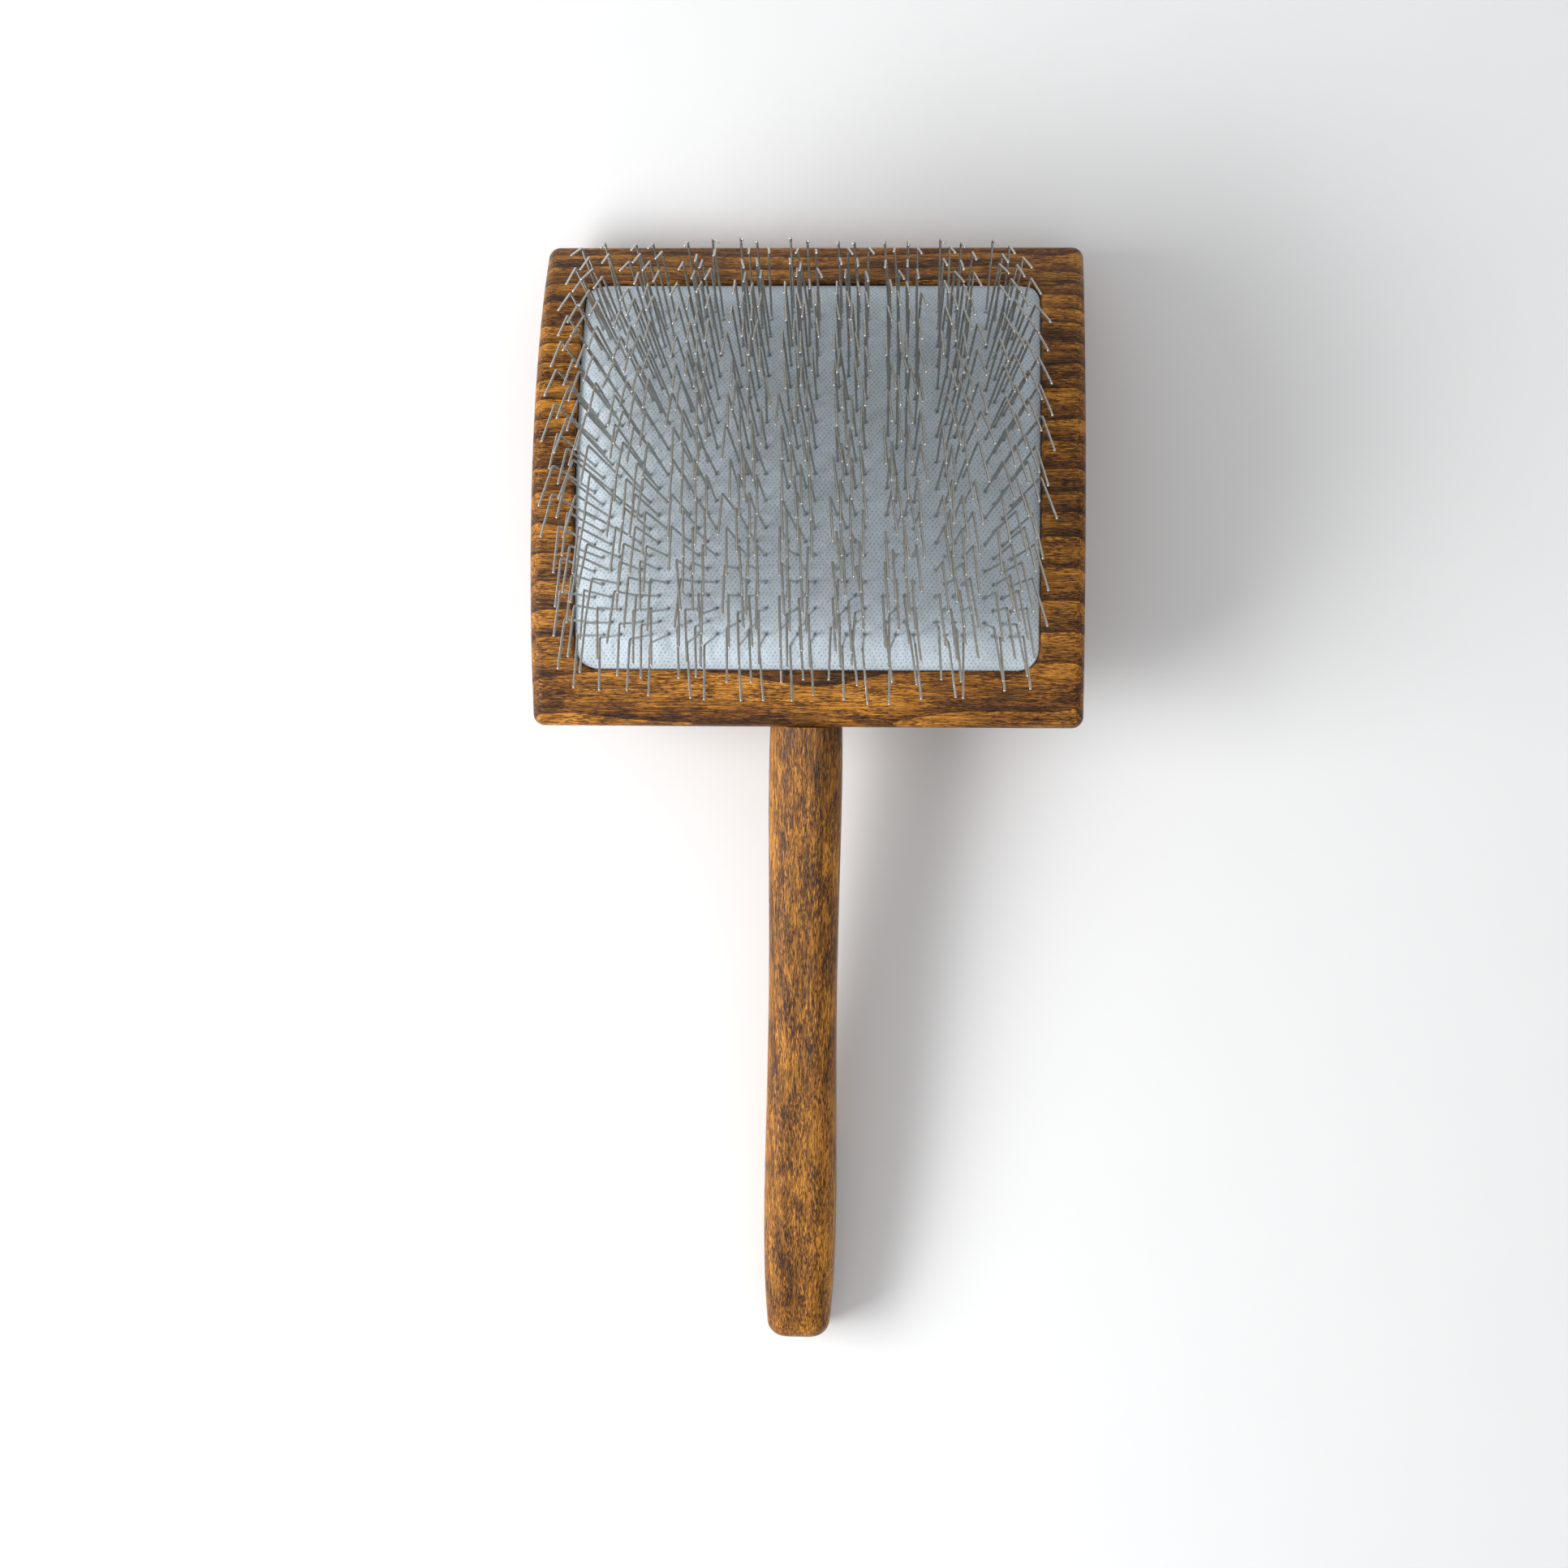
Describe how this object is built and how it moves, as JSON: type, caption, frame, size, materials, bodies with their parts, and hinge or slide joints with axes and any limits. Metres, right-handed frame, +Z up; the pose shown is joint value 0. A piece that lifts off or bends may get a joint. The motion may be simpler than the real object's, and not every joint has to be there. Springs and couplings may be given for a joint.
{
  "type": "slicker brush",
  "caption": "Wooden pet grooming brush: an arched head with a cushioned cloth card full of bent steel wire pins, on a straight handle.",
  "frame": {"origin": "middle of the footprint, on the surface that the brush lies on with its pins up", "axes": "+X across the head, +Y from the handle's end towards the head's top, +Z up, the way the pins stand"},
  "size_m": [0.116, 0.2354, 0.0655],
  "materials": {
    "head_wood": "dark stain under semi-gloss lacquer",
    "handle_wood": "dark stain under semi-gloss lacquer",
    "facing_cloth": "fine woven cotton",
    "card_rubber": "natural rubber",
    "backing_cloth": "coarse woven cotton",
    "foam": "open-cell foam",
    "pin_wire": "bright drawn wire"
  },
  "bodies": {
    "brush": {"head_block": "head_wood", "handle": "handle_wood", "foam_cushion": "foam"},
    "card": {"card_facing": "facing_cloth", "card_core": "card_rubber", "card_backing": "backing_cloth", "wire_row_01": "pin_wire", "wire_row_02": "pin_wire", "wire_row_03": "pin_wire", "wire_row_04": "pin_wire", "wire_row_05": "pin_wire", "wire_row_06": "pin_wire", "wire_row_07": "pin_wire", "wire_row_08": "pin_wire", "wire_row_09": "pin_wire", "wire_row_10": "pin_wire", "wire_row_11": "pin_wire", "wire_row_12": "pin_wire", "wire_row_13": "pin_wire", "wire_row_14": "pin_wire", "wire_row_15": "pin_wire", "wire_row_16": "pin_wire", "wire_row_17": "pin_wire", "wire_row_18": "pin_wire", "wire_row_19": "pin_wire", "wire_row_20": "pin_wire", "wire_row_21": "pin_wire", "wire_row_22": "pin_wire", "wire_row_23": "pin_wire", "wire_row_24": "pin_wire", "wire_row_25": "pin_wire", "wire_row_26": "pin_wire", "wire_row_27": "pin_wire", "wire_row_28": "pin_wire"}
  },
  "joints": [
    {"name": "card_press", "type": "slide", "parent": "brush", "child": "card", "axis": [0, 0.1908, 0.9816], "range_m": [-0.002, 0], "stiffness_N_per_m": 3000, "springref_m": 0.0004, "deforming": ["foam_cushion"]}
  ]
}
